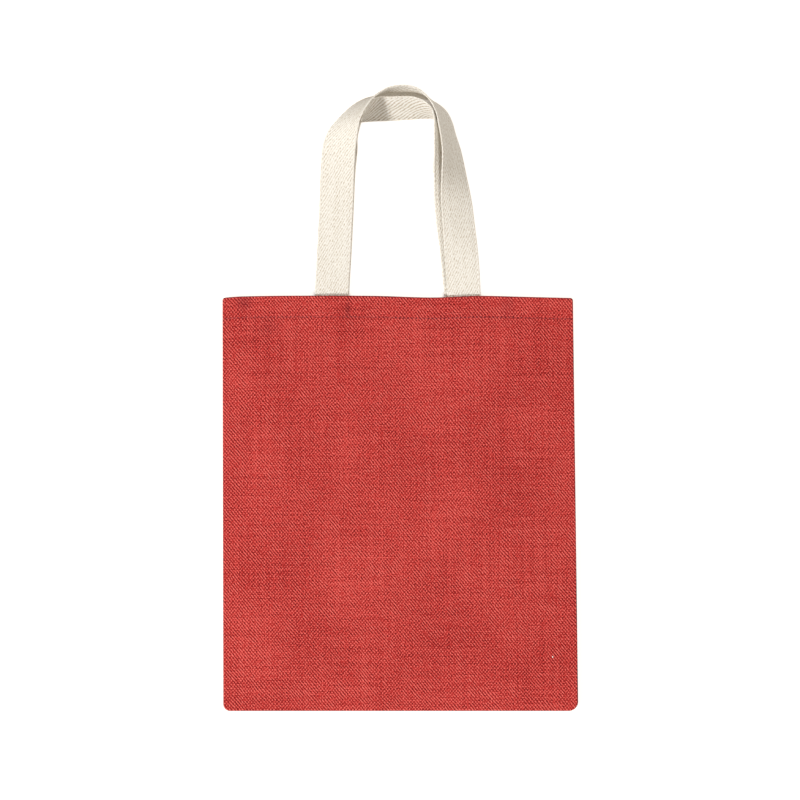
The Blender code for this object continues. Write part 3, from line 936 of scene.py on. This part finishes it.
def stitch_tree(thread_material):
    """Geometry Nodes: stitches of a thread, one after another, along a path."""
    tree = bpy.data.node_groups.new("stitches_along_a_path", "GeometryNodeTree")
    sockets = tree.interface
    sockets.new_socket("Path", in_out="INPUT", socket_type="NodeSocketGeometry")
    for title, size in (("Pitch", STITCH_PITCH), ("Share", STITCH_SHARE), ("Thread", THREAD)):
        number = sockets.new_socket(title, in_out="INPUT", socket_type="NodeSocketFloat")
        number.default_value = size
    sockets.new_socket("Stitches", in_out="OUTPUT", socket_type="NodeSocketGeometry")
    start, end = tree.nodes.new("NodeGroupInput"), tree.nodes.new("NodeGroupOutput")

    def step(kind, settings=None, **values):
        """A new node, with the values or links of its sockets by name."""
        made = tree.nodes.new(kind)
        for key, value in (settings or {}).items():
            setattr(made, key, value)
        for key, value in values.items():
            socket = made.inputs[key.replace("_", " ")]
            if isinstance(value, bpy.types.NodeSocket):
                tree.links.new(value, socket)
            else:
                socket.default_value = value
        return made

    def product(first, second):
        """The product of two sockets or numbers."""
        made = step("ShaderNodeMath", {"operation": "MULTIPLY"})
        for socket, value in zip(made.inputs, (first, second)):
            if isinstance(value, bpy.types.NodeSocket):
                tree.links.new(value, socket)
            else:
                socket.default_value = value
        return made.outputs[0]

    length = product(start.outputs["Pitch"], start.outputs["Share"])
    radius = product(start.outputs["Thread"], 0.5)
    sunk = product(start.outputs["Thread"], -0.5)
    path = step("GeometryNodeMeshToCurve", Mesh=start.outputs["Path"])
    spots = step(
        "GeometryNodeCurveToPoints",
        {"mode": "LENGTH"},
        Curve=path.outputs[0],
        Length=start.outputs["Pitch"],
    )
    half_length = product(length, 0.5)
    backwards = product(half_length, -1.0)
    start_spot = step("ShaderNodeCombineXYZ", X=backwards, Z=sunk)
    end_spot = step("ShaderNodeCombineXYZ", X=half_length, Z=sunk)
    crown = step("ShaderNodeCombineXYZ", Z=product(start.outputs["Thread"], STITCH_CROWN))
    arc = step(
        "GeometryNodeCurveQuadraticBezier",
        Resolution=ARC_SEGMENTS,
        Start=start_spot.outputs[0],
        Middle=crown.outputs[0],
        End=end_spot.outputs[0],
    )
    round_thread = step(
        "GeometryNodeCurvePrimitiveCircle",
        Resolution=THREAD_SIDES,
        Radius=radius,
    )
    stitch = step(
        "GeometryNodeCurveToMesh",
        Curve=arc.outputs[0],
        Profile_Curve=round_thread.outputs[0],
        Fill_Caps=True,
    )
    turn = step(
        "FunctionNodeAlignRotationToVector",
        {"axis": "X"},
        Vector=spots.outputs["Tangent"],
    )
    placed = step(
        "GeometryNodeInstanceOnPoints",
        Points=spots.outputs["Points"],
        Instance=stitch.outputs[0],
        Rotation=turn.outputs[0],
    )
    real = step("GeometryNodeRealizeInstances", Geometry=placed.outputs[0])
    clad = step("GeometryNodeSetMaterial", Geometry=real.outputs[0], Material=thread_material)
    tree.links.new(clad.outputs[0], end.inputs[0])
    return tree


def sewn_row(name, spots, tree, pitch):
    """One row of stitches along the spots, as a plain mesh."""
    mesh = bpy.data.meshes.new(name + "_path")
    edges = [(k, k + 1) for k in range(len(spots) - 1)]
    mesh.from_pydata(spots, edges, [])
    path = scene_object(name + "_path", mesh)
    maker = path.modifiers.new("stitches", "NODES")
    maker.node_group = tree
    for socket in tree.interface.items_tree:
        if socket.name == "Pitch":
            maker[socket.identifier] = pitch
    look = bpy.context.evaluated_depsgraph_get()
    stitches = bpy.data.meshes.new_from_object(path.evaluated_get(look))
    bpy.data.objects.remove(path, do_unlink=True)
    stitches.name = name
    row = scene_object(name, stitches)
    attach(row, "root")
    return row


THREAD_ROUGHNESS = 0.8
THREAD_DARK = (0.48, 0.045, 0.038)
THREAD_LIGHT = (0.84, 0.170, 0.150)
TWIST_CELLS = (1500.0, 2600.0, 1500.0)


def thread_finish(name):
    """Matt red thread, twisted, a little lighter than the burlap."""
    finish = bpy.data.materials.new(name)
    finish.use_nodes = True
    tree = finish.node_tree
    shader = tree.nodes["Principled BSDF"]
    shader.inputs["Roughness"].default_value = THREAD_ROUGHNESS
    place = Wire(tree, None).node("ShaderNodeTexCoord", out="Object")
    twist = noise(place, 1.0, TWIST_CELLS)
    stops = ((0.25, THREAD_DARK), (0.75, THREAD_LIGHT))
    colour = twist.node("ShaderNodeValToRGB", {"stops": stops}, i0=twist)
    link(finish, colour, shader.inputs["Base Color"])
    return finish


red_thread = thread_finish("red_thread")
stitching = stitch_tree(red_thread)


def row_places(low, high, y, level):
    """Places every few millimetres along a row, on the cloth's surface."""
    steps = round((high - low) / ROW_STEP)
    places = [low + (high - low) * k / steps for k in range(steps + 1)]
    return [(x, y + smooth_row(MOUTH_WAVE, x)[0], level(x, y)) for x in places]


def on_front(x, y):
    """The outer surface of the front panel."""
    return front_height(x, y) + CLOTH / 2


def under_back(x, y):
    """Just inside the outer surface of the back panel, which lies on the surface below."""
    return THREAD


hem_low, hem_high = side_edges(STITCH_LINE)
hem_span = (hem_low + HEM_ROW_INSET, hem_high - HEM_ROW_INSET)
for side, level in (("front", on_front), ("back", under_back)):
    spots = row_places(*hem_span, STITCH_LINE, level)
    sewn_row(side + "_hem_stitches", spots, stitching, STITCH_PITCH)
for side, (low, high) in zip(("left", "right"), SEWN_ENDS):
    spots = row_places(low + END_ROW_INSET, high - END_ROW_INSET, END_ROW, on_front)
    sewn_row(side + "_end_stitches", spots, stitching, END_ROW_PITCH)
